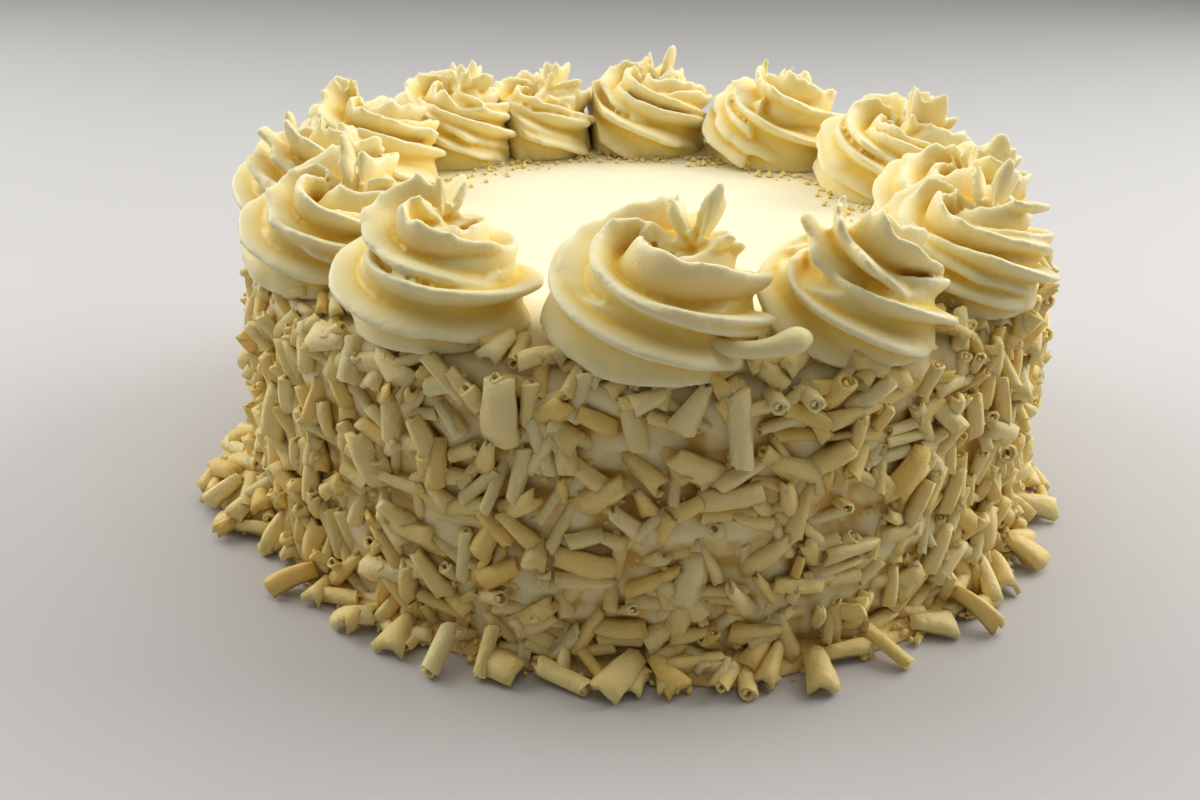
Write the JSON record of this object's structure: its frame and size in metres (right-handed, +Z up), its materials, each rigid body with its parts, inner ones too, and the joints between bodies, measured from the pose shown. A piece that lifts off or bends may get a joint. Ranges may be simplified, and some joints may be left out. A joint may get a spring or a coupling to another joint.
{
  "type": "iced carrot cake",
  "caption": "Round iced cake with piped icing rosettes round its top edge and white chocolate shavings pressed into its side and banked at its foot.",
  "frame": {"origin": "centre of the cake's flat underside, on its axis", "axes": "+Z up out of the top of the cake, -Y towards the front of the cake, where the view of it is taken from"},
  "size_m": [0.2223, 0.2241, 0.0977],
  "materials": {
    "icing": "soft whitish cream icing, satin",
    "piped_icing": "piped cream-yellow icing, satin, slightly translucent",
    "white_chocolate": "ivory white chocolate, satin"
  },
  "bodies": {
    "root": {"iced_cake": "icing", "rosette_01": "piped_icing", "rosette_02": "piped_icing", "rosette_03": "piped_icing", "rosette_04": "piped_icing", "rosette_05": "piped_icing", "rosette_06": "piped_icing", "rosette_07": "piped_icing", "rosette_08": "piped_icing", "rosette_09": "piped_icing", "rosette_10": "piped_icing", "rosette_11": "piped_icing", "rosette_12": "piped_icing", "rosette_13": "piped_icing"}
  },
  "joints": []
}
